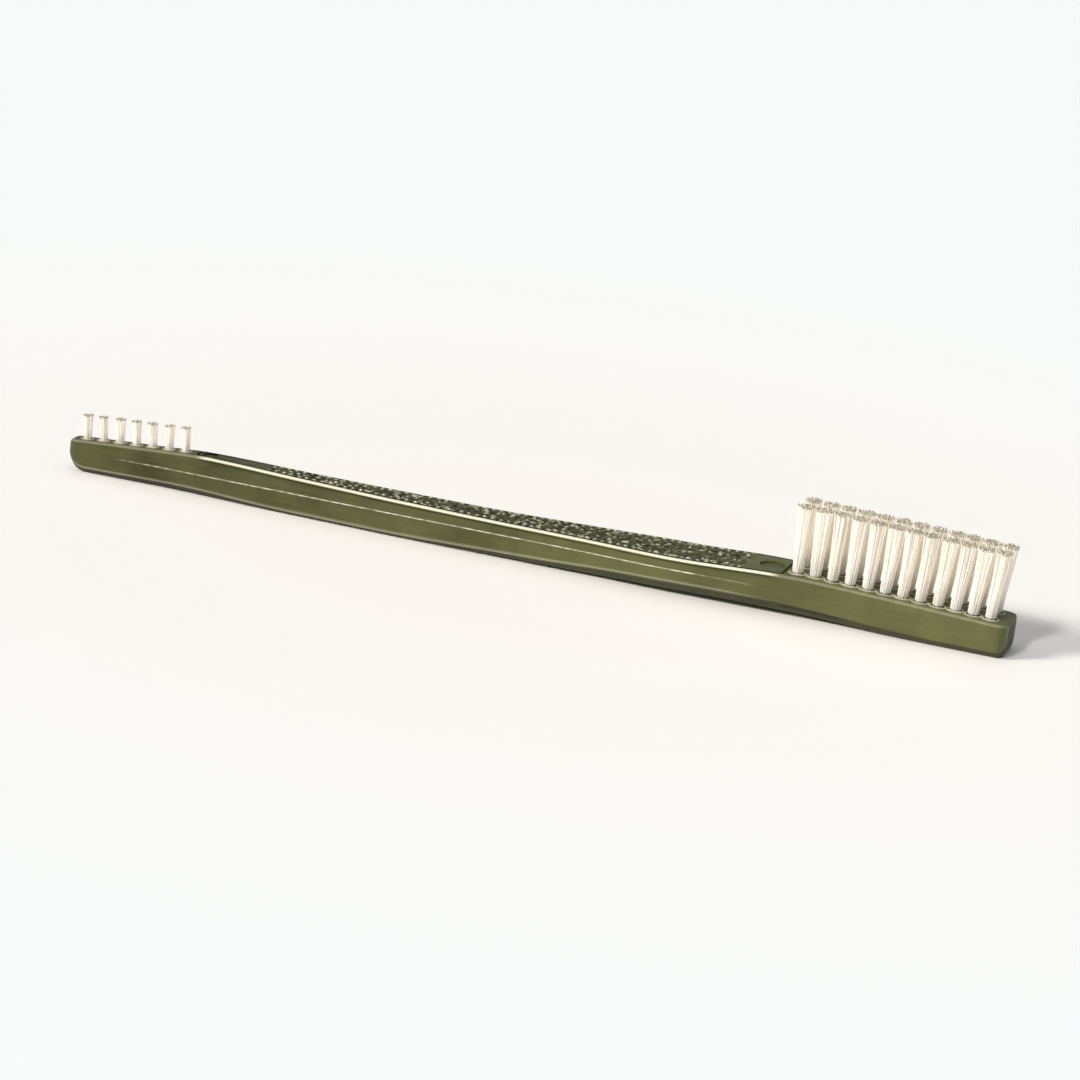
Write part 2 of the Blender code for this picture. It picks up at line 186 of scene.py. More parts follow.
def round_off(distance_in, radius):
    """How far a quarter round of this radius falls back at a distance in from its edge."""
    reach = np.clip(radius - distance_in, 0, radius)
    return radius - np.sqrt(radius ** 2 - reach ** 2)


def half_widths(d):
    half = along(WIDTHS, d) / 2
    nose = np.sqrt(np.clip(1 - (1 - np.clip(d / NARROW_TIP_RADIUS, 0, 1)) ** 2, 0, 1))
    return half * nose - round_off(LENGTH - d, WIDE_CORNER_RADIUS)


def smooth_step(value, low, high):
    t = np.clip((value - low) / (high - low), 0, 1)
    return t * t * (3 - 2 * t)


def between(value, low, high, fade):
    """1 from low to high, with a smooth fade inside each end."""
    return smooth_step(value, low, low + fade) * smooth_step(-value, -high, -high + fade)


def points_of(mesh):
    flat = np.zeros(len(mesh.vertices) * 3)
    mesh.vertices.foreach_get("co", flat)
    return flat.reshape(-1, 3)


def deselect_all():
    if bpy.context.object and bpy.context.object.mode != "OBJECT":
        bpy.ops.object.mode_set(mode="OBJECT")
    bpy.ops.object.select_all(action="DESELECT")


def take_new(name):
    """Names the primitive that was just added and its mesh."""
    item = bpy.context.object
    item.name = name
    item.data.name = name
    return item


def make_active(item):
    deselect_all()
    item.select_set(True)
    bpy.context.view_layer.objects.active = item


def close_and_face_out(item, merge):
    make_active(item)
    bpy.ops.object.mode_set(mode="EDIT")
    bpy.ops.mesh.select_all(action="SELECT")
    bpy.ops.mesh.remove_doubles(threshold=merge)
    bpy.ops.mesh.normals_make_consistent(inside=False)
    bpy.ops.object.mode_set(mode="OBJECT")


def apply_modifier(item, name, kind, **settings):
    make_active(item)
    modifier = item.modifiers.new(name, kind)
    for key, value in settings.items():
        setattr(modifier, key, value)
    bpy.ops.object.modifier_apply(modifier=modifier.name)


def tuft_frame(distance, across, lean):
    top = float(along(TOPS, distance))
    place = Vector((distance - LENGTH / 2, across, top)) * MM
    return Matrix.Translation(place) @ Matrix.Rotation(lean, 4, "Y")


def wide_places(sign):
    middle = (WIDE_COUNT - 1) / 2
    return [(WIDE_FIRST + i * TUFT_PITCH, sign * WIDE_ROW_OFFSET,
             WIDE_MEAN_LEAN + WIDE_FAN_LEAN * (i - middle) / middle) for i in range(WIDE_COUNT)]


def narrow_places():
    return [(NARROW_FIRST + i * TUFT_PITCH, 0.0, NARROW_LEAN) for i in range(NARROW_COUNT)]


def stretch(start, end, step):
    count = max(int(round((end - start) / step)), 1)
    return list(np.linspace(start, end, count + 1)[:-1])


def handle_stations(step):
    """Distances of the cross-sections, close together where the surface has detail."""
    nose = [NARROW_TIP_RADIUS * (1 - math.cos(a)) for a in np.linspace(0, math.pi / 2, 12)]
    edge = (0.0, 0.04, GROOVE_WIDTH - 0.12, GROOVE_WIDTH - 0.04, GROOVE_WIDTH,
            GROOVE_WIDTH + 0.08)
    entry = [PANEL_START - 0.08] + [PANEL_START + e for e in edge]
    leave = [PANEL_END - e for e in edge[::-1]] + [PANEL_END + 0.08]
    corner = [LENGTH - WIDE_CORNER_RADIUS * (1 - math.sin(a))
              for a in np.linspace(0, math.pi / 2, 11)]
    return (nose[:-1] + stretch(nose[-1], entry[0], 0.31) + entry
            + stretch(entry[-1] + 0.2, GRIP_START, 0.36) + stretch(GRIP_START, GRIP_END, step)
            + stretch(GRIP_END, leave[0] - 0.2, 0.36) + leave
            + stretch(leave[-1] + 0.2, corner[0], 0.31) + corner)


def domes(x, y, pitch, seed):
    """Height from 0 to 1 of a stipple of rounded grains, one to each jittered cell."""
    size = 64
    table = np.random.default_rng(seed).random((4, size, size))
    x, y = 0.8 * x + 0.6 * y, 0.8 * y - 0.6 * x
    column, row = np.floor(x / pitch).astype(int), np.floor(y / pitch).astype(int)
    height = np.zeros_like(x)
    for i in (-1, 0, 1):
        for j in (-1, 0, 1):
            a, b = (column + i) % size, (row + j) % size
            centre_x = (column + i + table[0, a, b]) * pitch
            centre_y = (row + j + table[1, a, b]) * pitch
            radius = (0.48 + 0.36 * table[2, a, b]) * pitch
            share = ((x - centre_x) ** 2 + (y - centre_y) ** 2) / radius ** 2
            peak = 0.45 + 0.55 * table[3, a, b]
            height = np.maximum(height, peak * np.clip(1 - share, 0, 1))
    return height


def wander(d, pitch, seed):
    """Smooth random values from -1 to 1 along the handle."""
    knots = np.arange(-2, LENGTH / pitch + 4) * pitch
    values = np.random.default_rng(seed).uniform(-1, 1, len(knots))
    return np.interp(d, knots, values)


def half_section(d):
    """Half of each cross-section, from the top's middle line round to the underside's.

    Returns across, up, painted shade and gloss with painted highlight, each of one row per point and
    one column per section."""
    w = half_widths(d)
    top = along(TOPS, d) - round_off(d, NARROW_BROW_RADIUS)
    top = top - round_off(LENGTH - d, TOP_EDGE_ROUND)
    low = along(UNDERSIDES, d) + round_off(d, NARROW_CHIN_RADIUS)
    low = low + round_off(LENGTH - d, float(along(LOWER_ROUNDS, LENGTH)))
    tall = top - low
    edge = np.minimum(TOP_EDGE_ROUND, np.minimum(0.3 * w, 0.35 * tall))
    chin = np.minimum(along(LOWER_ROUNDS, d), np.minimum(0.75 * w, 0.42 * tall))
    in_panel = ((d > PANEL_START - 0.01) & (d < PANEL_END + 0.01)).astype(float)
    in_pad = ((d > PANEL_START + GROOVE_WIDTH - 0.01) & (d < PANEL_END - GROOVE_WIDTH + 0.01))
    from_end = np.clip(np.minimum(d - PANEL_START, PANEL_END - d), 0, None)
    rim = np.minimum(PANEL_RIM, 0.3 * w + edge) + in_panel * round_off(from_end, PANEL_CORNER)
    groove = np.minimum(GROOVE_WIDTH, 0.3 * w)
    deep = in_panel * GROOVE_DEPTH
    pad = top - np.where(in_pad, 0.0, deep)
    draft = SIDE_DRAFT * np.clip(w / 1.5, 0, 1)
    across, up, painted_shade, gloss_and_painted_highlight = [], [], [], []

    def point(y, z, dark=0.0, shine=0.0):
        across.append(y)
        up.append(z)
        painted_shade.append(np.broadcast_to(dark, d.shape))
        gloss_and_painted_highlight.append(np.broadcast_to(shine, d.shape))

    pad_edge = w - rim - groove
    # The pad's outer edge and the groove are darkened with painted shade
    for t in np.linspace(0, 1, 22):
        point(pad_edge * t, pad, 0.9 * in_panel * (t == 1))
    point(pad_edge + 0.05 * groove, pad - 0.25 * deep * in_pad, in_panel)
    point(pad_edge + 0.15 * groove, top - deep, in_panel)
    point(pad_edge + 0.85 * groove, top - deep, in_panel)
    point(w - rim - 0.04 * w / 5, top - 0.3 * deep, in_panel)
    point(w - rim + 0.02 * w / 5, top, 0.3 * in_panel)
    # The rim's bead and round carry a painted highlight, fainter near the panel's ends
    rim_shine = 0.15 + 0.85 * smooth_step(from_end, 0, 2.5)
    point(w - (rim + edge) / 2, top, 0, rim_shine)
    for angle, shine in zip(np.linspace(math.pi / 2, 0, 6), (0.6, 0.9, 1, 1, 0.7, 0.1)):
        point(w - edge + edge * math.cos(angle), top - edge + edge * math.sin(angle), 0,
              rim_shine * shine)
    line = np.clip(along(PARTING_HEIGHTS, d), low + chin + 0.16 * tall, top - edge - 0.16 * tall)
    half_ridge = np.minimum(PARTING_RIDGE, 0.05 * tall)
    ragged = np.where(d < RAGGED_FLASH_END, 0.85 + 0.4 * wander(d, 0.7, 5), 1.0)
    flash = along(FLASH, d) * ragged
    flash = flash * np.clip(w / 1.5, 0, 1)
    start, end = top - edge, line + half_ridge
    # The crease under the bead gets two lines of painted shade
    under_bead = smooth_step(from_end, 0, CREASE_FADE)
    for depth, drop, dark in CREASE:
        point(w - depth * under_bead, start - drop, dark * under_bead)
    start = start - CREASE[-1][1]
    for t in np.linspace(0, 1, 6)[1:-1]:
        point(w - draft * (start + (end - start) * t - line), start + (end - start) * t)
    # The flash along the parting line carries a patchy painted highlight
    for offset, share in ((1, 0), (0.5, 0.7), (0, 1), (-0.5, 0.7), (-1, 0)):
        point(w + flash * share, line + half_ridge * offset, 0,
              np.clip(share * flash * 10, 0, 1) * (0.6 + 0.4 * wander(d, 0.8, 41)))
    start, end = line - half_ridge, low + chin
    for t in np.linspace(0, 1, 7)[1:-1]:
        point(w - draft * (line - (start + (end - start) * t)), start + (end - start) * t)
    # The lower slope is darkened with painted shade, with a painted highlight line along its top
    for share, shine in zip(np.linspace(0, 1, 7), (0.25, 0.05, 0, 0, 0, 0, 0)):
        angle = share * math.pi / 2
        inward = 1 - math.cos(angle) + LOWER_SLOPE * (share - 1 + math.cos(angle))
        fall = math.sin(angle) + LOWER_SLOPE * (share - math.sin(angle))
        point(w - chin * inward, low + chin * (1 - fall), LOWER_PAINTED_SHADE * (share > 0),
              shine * (1 - smooth_step(d, *LOWER_HIGHLIGHT_FADE)))
    for t in np.linspace(1, 0, 10)[1:]:
        point((w - chin) * t, low)
    return np.array([across, up, painted_shade, gloss_and_painted_highlight]), top, low


def relief(x, y, z, painted_shade, gloss_and_painted_highlight, d, top, low, settings):
    """Grain of the grip pad and the underside, and the swollen lips round the tuft holes, with painted
    shade and painted highlights.
    """
    is_top = z > top - 0.02
    w = np.broadcast_to(half_widths(d), y.shape)
    pad_edge = w - PANEL_RIM - GROOVE_WIDTH
    grip = between(d, GRIP_START, GRIP_END, 1.2)
    grip = grip * smooth_step(pad_edge - np.abs(y), -0.02, 0.12) * is_top
    grain = domes(x, y, settings.grain_pitch / MM, 11)
    fine = domes(x + 31.7, y + 12.3, 0.45 * settings.grain_pitch / MM, 12)
    height = settings.grain_height / MM
    z += grip * (height * (0.8 * grain + 0.3 * fine) - 0.4 * height)
    # Painted shade in the hollows between grains; painted highlights on their crests
    painted_shade += 0.9 * grip * np.clip(1.05 - 1.3 * grain - 0.3 * fine, 0, 1)
    gloss_and_painted_highlight += grip * smooth_step(grain, 0.72, 0.86)
    # The coarse grains along the pad's edges carry a painted highlight
    row = np.exp(-((pad_edge - np.abs(y) - GRIP_ROW_INSET) / GRIP_ROW_SPREAD) ** 2) * grip
    row = row * (0.5 + 0.5 * np.cos(2 * math.pi * d / GRIP_ROW_PITCH)) ** 3
    z += GRIP_ROW_HEIGHT * row
    gloss_and_painted_highlight += row
    under = between(d, UNDER_GRIP_START, UNDER_GRIP_END, 4)
    under = under * smooth_step(-z, -(low + 0.5), -(low + 0.1))
    z += under * UNDER_GRIP_HEIGHT * domes(x + 7.1, y + 3.3, UNDER_GRIP_PITCH, 13)
    lip = settings.lip_height / MM
    holes = [(p, WIDE_HOLE_RADIUS, lip) for p in wide_places(-1) + wide_places(1)]
    holes += [(p, NARROW_HOLE_RADIUS, 0.9 * lip) for p in narrow_places()]
    upper = smooth_step(z, top - 0.5, top - 0.1)
    for number, ((along_x, across_y, lean), radius, rise) in enumerate(holes):
        reach = np.hypot(d - along_x, y - across_y) - radius - LIP_OFFSET
        uneven = 0.85 + 0.25 * math.sin(number * 2.3)
        swell = upper * np.exp(-(reach / LIP_SPREAD) ** 2)
        z += swell * rise * uneven
        # Each lip carries a painted highlight, and a ring of painted shade lies just inside it
        gloss_and_painted_highlight += swell
        painted_shade += upper * np.exp(-((reach + DARK_RING_OFFSET) / DARK_RING_SPREAD) ** 2)
    side = smooth_step(np.abs(y), w - 0.6, w - 0.1) * smooth_step(z, top - 2.2, top - 0.3)
    wave = 0.5 + 0.5 * np.cos((d - WIDE_FIRST) / TUFT_PITCH * 2 * math.pi)
    on_head = between(d, WIDE_FIRST - 1, SCALLOP_END, 1)
    y += np.sign(y) * SCALLOP_DEPTH * side * wave * on_head
    return y, z, np.clip(painted_shade, 0, 1), np.clip(gloss_and_painted_highlight, 0, 1)


def build_handle(settings):
    """A flat grid wrapped round the handle's cross-sections and closed at both ends."""
    d = np.array(handle_stations(settings.section_step / MM))
    d = np.concatenate((d, np.full(len(CLOSING), d[-1])))
    shrink = np.ones(len(d))
    shrink[-len(CLOSING):] = CLOSING
    half, top, low = half_section(d)
    middle = (top + low) / 2
    half[1] -= (half[1] - middle) * (1 - shrink) * 0.6
    half[0] *= shrink
    ring = np.concatenate((half, half[:, -2:0:-1], half[:, :1]), axis=1)
    ring[0, len(half[0]):-1] *= -1
    y, z, painted_shade, gloss_and_painted_highlight = ring
    distance = np.broadcast_to(d, y.shape)
    y, z, painted_shade, gloss_and_painted_highlight = relief(distance - LENGTH / 2, y, z, painted_shade, gloss_and_painted_highlight, distance,
                                  np.broadcast_to(top, y.shape), np.broadcast_to(low, y.shape),
                                  settings)
    rows, columns = y.shape
    deselect_all()
    bpy.ops.mesh.primitive_grid_add(x_subdivisions=columns - 1, y_subdivisions=rows - 1, size=1.0)
    handle = take_new("moulded_handle")
    flat = points_of(handle.data)
    column = np.rint((flat[:, 0] + 0.5) * (columns - 1)).astype(int)
    row = np.rint((flat[:, 1] + 0.5) * (rows - 1)).astype(int)
    shaped = np.stack((distance[row, column] - LENGTH / 2, y[row, column], z[row, column]), 1)
    handle.data.vertices.foreach_set("co", (shaped * MM).ravel())
    for name, values in (("painted_shade", painted_shade), ("gloss_and_painted_highlight", gloss_and_painted_highlight)):
        layer = handle.data.attributes.new(name, "FLOAT", "POINT")
        layer.data.foreach_set("value", values[row, column].astype(np.float32))
    handle.data.update()
    close_and_face_out(handle, 1e-7)
    return handle


def drill(name, places, radius, bottom, top, segments):
    """Joined round cutters standing at each place, from bottom to top of the surface there."""
    made = []
    for place in places:
        deselect_all()
        bpy.ops.mesh.primitive_cylinder_add(vertices=segments, radius=radius * MM,
                                            depth=(top - bottom) * MM)
        cutter = take_new(name)
        cutter.data.transform(Matrix.Translation((0, 0, (top + bottom) / 2 * MM)))
        cutter.data.transform(place)
        made.append(cutter)
    make_active(made[0])
    for cutter in made:
        cutter.select_set(True)
    bpy.ops.object.join()
    return made[0]


def cut(item, cutter):
    apply_modifier(item, cutter.name, "BOOLEAN", operation="DIFFERENCE", solver="EXACT",
                   object=cutter)
    bpy.data.objects.remove(cutter, do_unlink=True)


def clean_cuts(handle):
    """Takes the painted highlights off what the cutters left: light painted shade in the pin marks and
    dark painted shade on the hole walls.
    """
    mesh = handle.data
    x, y, z = points_of(mesh).T / MM
    d = x + LENGTH / 2
    in_mark = np.any([np.hypot(d - at, y) < radius + 0.05 for at, radius in PIN_MARKS], axis=0)
    in_hole = (z < along(TOPS, d) - 0.35) & (z > along(UNDERSIDES, d) + 1.0)
    in_hole &= (np.abs(y) < half_widths(d) - 0.5) & ((d < PANEL_START) | (d > PANEL_END + 0.2))
    for name, in_marks, in_holes in (("painted_shade", 0.25, 0.85), ("gloss_and_painted_highlight", 0.0, 0.0)):
        values = np.zeros(len(mesh.vertices), np.float32)
        layer = mesh.attributes[name]
        layer.data.foreach_get("value", values)
        values[in_mark] = in_marks
        values[in_hole] = in_holes
        layer.data.foreach_set("value", values)


def cut_handle(handle):
    wide = [tuft_frame(*place) for place in wide_places(-1) + wide_places(1)]
    narrow = [tuft_frame(*place) for place in narrow_places()]
    cut(handle, drill("wide_holes", wide, WIDE_HOLE_RADIUS, -WIDE_HOLE_DEPTH, 2.0,
                      WIDE_HOLE_SIDES))
    cut(handle, drill("narrow_holes", narrow, NARROW_HOLE_RADIUS, -NARROW_HOLE_DEPTH, 2.0,
                      NARROW_HOLE_SIDES))
    for number, (distance, radius) in enumerate(PIN_MARKS):
        rise = float(along(TOPS, distance + 0.5) - along(TOPS, distance - 0.5))
        place = tuft_frame(distance, 0.0, -math.atan(rise))
        cut(handle, drill("pin_mark_%d" % number, [place], radius, -PIN_MARK_DEPTH, 1.0,
                          PIN_MARK_SIDES))
    clean_cuts(handle)


def straw(radius, rings):
    """One straight filament: a round, extruded ring by ring."""
    deselect_all()
    bpy.ops.mesh.primitive_circle_add(vertices=FILAMENT_SIDES, radius=radius, fill_type="NGON")
    item = take_new("straw")
    bpy.ops.object.mode_set(mode="EDIT")
    bpy.ops.mesh.select_all(action="SELECT")
    for ring in range(rings - 1):
        bpy.ops.mesh.extrude_region_move(TRANSFORM_OT_translate={"value": (0, 0, radius)})
    bpy.ops.mesh.select_all(action="SELECT")
    bpy.ops.mesh.normals_make_consistent(inside=False)
    bpy.ops.object.mode_set(mode="OBJECT")
    return item


def packed_half(radius, clear, pitch):
    """Centres of filaments packed in the half of a round hole on one side of the anchor."""
    found = []
    rows = int(radius / (pitch * PACKED_ROWS)) + 1
    for row in range(rows):
        y = clear + row * pitch * PACKED_ROWS
        for column in range(-12, 13):
            x = (column + 0.5 * (row % 2)) * pitch
            if math.hypot(x, y) <= radius:
                found.append((x, y))
    return np.array(found)


def filament_paths(rng, root, tip, height, depth, fold, thickness, filament, end, ragged):
    """Centre lines of one tuft's filaments, each folded under the anchor and up both sides.

    Levels run from one tip down, under the anchor and up to the other tip, in millimetres."""
    clear = thickness / 2 + 0.6 * filament
    spots = packed_half(root - 0.5 * filament, clear, 1.06 * filament)
    floor = FLOOR_GAP - depth
    legs = []
    for sign in (-1, 1):
        x, y = spots[:, 0], spots[:, 1]
        open_y = y - clear * (1 - y / root) * 0.8
        grow = tip / root
        tip_x = x * grow + rng.normal(0, 0.1, len(x)) * grow
        tip_y = open_y * grow + rng.normal(0, 0.1, len(x)) * grow
        over = np.maximum(np.hypot(tip_x, tip_y) / (1.12 * tip), 1.0)
        tip_x, tip_y = tip_x / over, tip_y / over
        tip_z = height - np.abs(rng.normal(0, ragged, len(x)))
        bow = rng.normal(0, 0.03, (2, len(x)))
        under = floor + fold - 0.5 * filament - 0.72 * (y - clear)
        under = np.maximum(under, floor + 0.5 * filament)
        levels = [(x, 0.75 * y, under + 0.1 * y),
                  (x, y, under + 0.6 * y),
                  (x, open_y, np.full(len(x), -0.3))]
        for share in (0.3, 0.65, None, 1.0):
            t = 1 - end / height if share is None else share
            bend = math.sin(math.pi * t)
            levels.append((x + (tip_x - x) * t ** 1.15 + bow[0] * bend,
                           open_y + (tip_y - open_y) * t ** 1.15 + bow[1] * bend, tip_z * t))
        leg = np.array(levels)
        leg[:, 1] *= sign
        legs.append(leg)
    bottom = np.array([[spots[:, 0], 0 * spots[:, 0], under]])
    path = np.concatenate((legs[0][::-1], bottom, legs[1]))
    return np.moveaxis(path, 2, 0)


def bend_straws(name, pattern, paths, radius, rng):
    """Copies the straight filament along every path into one mesh, in millimetres made metres."""
    count, rings = paths.shape[0], paths.shape[1]
    tangent = np.gradient(paths, axis=1)
    tangent /= np.linalg.norm(tangent, axis=2, keepdims=True)
    sideways = np.cross(tangent, np.array((1.0, 0.0, 0.0)))
    sideways /= np.linalg.norm(sideways, axis=2, keepdims=True)
    crossways = np.cross(tangent, sideways)
    flat = points_of(pattern.data)
    ring = np.rint(flat[:, 2] / (radius * MM)).astype(int)
    angle = np.arctan2(flat[:, 1], flat[:, 0])
    turn = rng.uniform(0, 1.0, (count, 1))
    across = np.cos(angle[None, :] + turn)[..., None] * crossways[:, ring]
    aside = np.sin(angle[None, :] + turn)[..., None] * sideways[:, ring]
    points = paths[:, ring] + radius * (across + aside)
    faces = [tuple(p.vertices) for p in pattern.data.polygons]
    stride = len(flat)
    mesh = bpy.data.meshes.new(name)
    mesh.from_pydata((points.reshape(-1, 3) * MM).tolist(), [],
                     [tuple(v + k * stride for v in face) for k in range(count) for face in faces])
    share = ring / (rings - 1)
    tone = rng.random(count)
    corner = np.zeros(len(mesh.loops), int)
    mesh.loops.foreach_get("vertex_index", corner)
    along_it = share[corner % stride]
    uv = mesh.uv_layers.new(name="strand")
    uv.data.foreach_set("uv", np.stack((tone[corner // stride], along_it), 1).ravel())
    ends = [int(min(ring[v] for v in f) < 1 or max(ring[v] for v in f) > rings - 2)
            for f in faces]
    mesh.polygons.foreach_set("material_index", ends * count)
    mesh.polygons.foreach_set("use_smooth", [len(f) == 4 for f in faces] * count)
    mesh.update()
    return mesh


def build_tufts(settings, names, places, root, tip, height, depth, fold, thickness, seed):
    """One row of tufts, each its own bunch of folded filaments, standing in its hole."""
    filament = settings.filament / MM
    rings = 2 * LEG_LEVELS + 1
    pattern = straw(settings.filament / 2, rings)
    tufts = []
    for number, (name, place) in enumerate(zip(names, places)):
        rng = np.random.default_rng(seed + number)
        paths = filament_paths(rng, root, tip, height, depth, fold, thickness, filament,
                               settings.end_length / MM, settings.ragged / MM)
        mesh = bend_straws(name, pattern, paths, filament / 2, rng)
        mesh.transform(tuft_frame(*place))
        tuft = bpy.data.objects.new(name, mesh)
        bpy.context.scene.collection.objects.link(tuft)
        tufts.append(tuft)
    bpy.data.objects.remove(pattern, do_unlink=True)
    return tufts


def olive_nylon(finish):
    """Olive plastic, injection moulded in a grained tool: a soft satin sheen, faint mottling and
    drag streaks, and painted shade in the hollows, groove, creases, lower slope and holes. Crests
    are both glossier and painted paler, a painted highlight for glints broader than the lamps give."""
    material, tree, shader = new_material("olive_moulded_nylon")
    place = add_node(tree, "ShaderNodeTexCoord").outputs["Object"]
    body, light, dark = (linear(c) for c in (finish.body_hex, finish.light_hex, finish.painted_shade_hex))
    # Mottling about 9 mm across
    mottle = add_node(tree, "ShaderNodeTexNoise", None,
                      {"Scale": 1 / 0.009, "Detail": 3.0, "Roughness": 0.55}, {"Vector": place})
    # Drag streaks 12 mm long and 0.4 mm high, drawn along the handle
    drawn = add_node(tree, "ShaderNodeMapping", None, {"Scale": (80.0, 2500.0, 2500.0)},
                     {"Vector": place})
    streak = add_node(tree, "ShaderNodeTexNoise", None, {"Scale": 1.0, "Detail": 2.0},
                      {"Vector": drawn.outputs["Vector"]})
    # Fine grain of the mould, drawn coarser than life at 0.16 mm so that it shows
    grain = add_node(tree, "ShaderNodeTexNoise", None,
                     {"Scale": 1 / 0.00016, "Detail": 2.0, "Roughness": 0.6}, {"Vector": place})
    tone = add_node(tree, "ShaderNodeMath", {"operation": "MULTIPLY_ADD"}, {1: 0.35},
                    {0: streak.outputs["Fac"], 2: mottle.outputs["Fac"]})
    # A slow change of tone along the handle stands in for lamps that fall off with distance
    parts = add_node(tree, "ShaderNodeSeparateXYZ", None, None, {"Vector": place})
    paler = add_node(tree, "ShaderNodeMath", {"operation": "MULTIPLY_ADD"}, {1: 3.2},
                     {0: parts.outputs["X"], 2: tone.outputs["Value"]})
    blend = add_node(tree, "ShaderNodeValToRGB", None, None, {"Fac": paler.outputs["Value"]})
    set_ramp(blend, [(0.22, body), (1.0, light)])
    # Painted shade darkens the grooves, hollows, creases, lower slope and holes
    painted_shade = add_node(tree, "ShaderNodeAttribute", {"attribute_name": "painted_shade"})
    painted_shade_mix = add_node(tree, "ShaderNodeMix", {"data_type": "RGBA"}, {7: dark},
                     {0: painted_shade.outputs["Fac"], 6: blend.outputs["Color"]})
    # Crests are painted paler, a painted highlight in place of glints
    gloss_and_painted_highlight = add_node(tree, "ShaderNodeAttribute", {"attribute_name": "gloss_and_painted_highlight"})
    painted_highlight_share = add_node(tree, "ShaderNodeMath", {"operation": "MULTIPLY"}, {1: 0.85},
                      {0: gloss_and_painted_highlight.outputs["Fac"]})
    painted_highlight_mix = add_node(tree, "ShaderNodeMix", {"data_type": "RGBA"}, {7: linear(finish.painted_highlight_hex)},
                    {0: painted_highlight_share.outputs["Value"], 6: painted_shade_mix.outputs[2]})
    tree.links.new(painted_highlight_mix.outputs[2], shader.inputs["Base Color"])
    rough = add_node(tree, "ShaderNodeMapRange", None,
                     {"From Min": 0.3, "From Max": 0.7, "To Min": finish.body_roughness - 0.06,
                      "To Max": finish.body_roughness + 0.06}, {"Value": grain.outputs["Fac"]})
    glossy = add_node(tree, "ShaderNodeMix", {"data_type": "FLOAT"}, {3: finish.worn_roughness},
                      {0: gloss_and_painted_highlight.outputs["Fac"], 2: rough.outputs["Result"]})
    tree.links.new(glossy.outputs[0], shader.inputs["Roughness"])
    # Crests mirror more than the mould's texture, and hollows hardly at all
    mirror = add_node(tree, "ShaderNodeMath", {"operation": "MULTIPLY_ADD"}, {1: 0.35, 2: 0.32},
                      {0: gloss_and_painted_highlight.outputs["Fac"]})
    dulled = add_node(tree, "ShaderNodeMath", {"operation": "MULTIPLY_ADD"}, {1: -0.25},
                      {0: painted_shade.outputs["Fac"], 2: mirror.outputs["Value"]})
    tree.links.new(dulled.outputs["Value"], shader.inputs["Specular IOR Level"])
    bump = add_node(tree, "ShaderNodeBump", None, {"Strength": 0.35, "Distance": 0.00002},
                    {"Height": grain.outputs["Fac"]})
    tree.links.new(bump.outputs["Normal"], shader.inputs["Normal"])
    shader.inputs["IOR"].default_value = NYLON_IOR
    return material


def clear_nylon(finish):
    """Natural nylon filament: milky, slightly warm, with a satin gloss. Strands differ a little
    in tone, and each is painted dark at its foot as shade and gives off a little light above it."""
    material, tree, shader = new_material("natural_nylon_filament")
    strand = add_node(tree, "ShaderNodeUVMap", {"uv_map": "strand"})
    parts = add_node(tree, "ShaderNodeSeparateXYZ", None, None, {"Vector": strand.outputs["UV"]})
    # 0 at the fold under the anchor, 1 at both tips
    rise = add_node(tree, "ShaderNodeMath", {"operation": "MULTIPLY_ADD"}, {1: 2.0, 2: -1.0},
                    {0: parts.outputs["Y"]})
    rise = add_node(tree, "ShaderNodeMath", {"operation": "ABSOLUTE"}, None,
                    {0: rise.outputs["Value"]})
    pale, warm = linear(finish.filament_hex), linear(finish.filament_warm_hex)
    tone = add_node(tree, "ShaderNodeMix", {"data_type": "RGBA"}, {6: pale, 7: warm},
                    {0: parts.outputs["X"]})
    # Cloudy patches about 1.5 mm long
    place = add_node(tree, "ShaderNodeTexCoord").outputs["Object"]
    cloud = add_node(tree, "ShaderNodeTexNoise", None, {"Scale": 1 / 0.0015, "Detail": 1.0},
                     {"Vector": place})
    shade = add_node(tree, "ShaderNodeMapRange", None, {"To Min": 0.93, "To Max": 1.03},
                     {"Value": cloud.outputs["Fac"]})
    mixed = add_node(tree, "ShaderNodeMix", {"data_type": "RGBA", "blend_type": "MULTIPLY"},
                     {0: 1.0}, {6: tone.outputs[2], 7: shade.outputs["Result"]})
    # The foot of each strand is painted dark: painted shade where little light reaches it and the dark
    # plastic shows through
    foot = add_node(tree, "ShaderNodeMapRange", None,
                    {"From Min": 0.443, "From Max": 0.456, "To Min": 0.12},
                    {"Value": rise.outputs["Value"]})
    shaded = add_node(tree, "ShaderNodeMix", {"data_type": "RGBA", "blend_type": "MULTIPLY"},
                      {0: 1.0}, {6: mixed.outputs[2], 7: foot.outputs["Result"]})
    tree.links.new(shaded.outputs[2], shader.inputs["Base Color"])
    rough = add_node(tree, "ShaderNodeMapRange", None, {"To Min": 0.28, "To Max": 0.42},
                     {"Value": cloud.outputs["Fac"]})
    tree.links.new(rough.outputs["Result"], shader.inputs["Roughness"])
    shader.inputs["IOR"].default_value = NYLON_IOR
    # A little emission, none at the foot, stands in for light passed on from strand to strand
    passed_on = add_node(tree, "ShaderNodeMapRange", None,
                         {"From Min": 0.44, "From Max": 0.62, "To Min": 0.0,
                          "To Max": finish.filament_fill}, {"Value": rise.outputs["Value"]})
    tree.links.new(passed_on.outputs["Result"], shader.inputs["Emission Strength"])
    tree.links.new(mixed.outputs[2], shader.inputs["Emission Color"])
    shader.inputs["Subsurface Weight"].default_value = finish.filament_glow
    shader.inputs["Subsurface Radius"].default_value = (1.0, 0.9, 0.75)
    shader.inputs["Subsurface Scale"].default_value = 0.0006
    return material


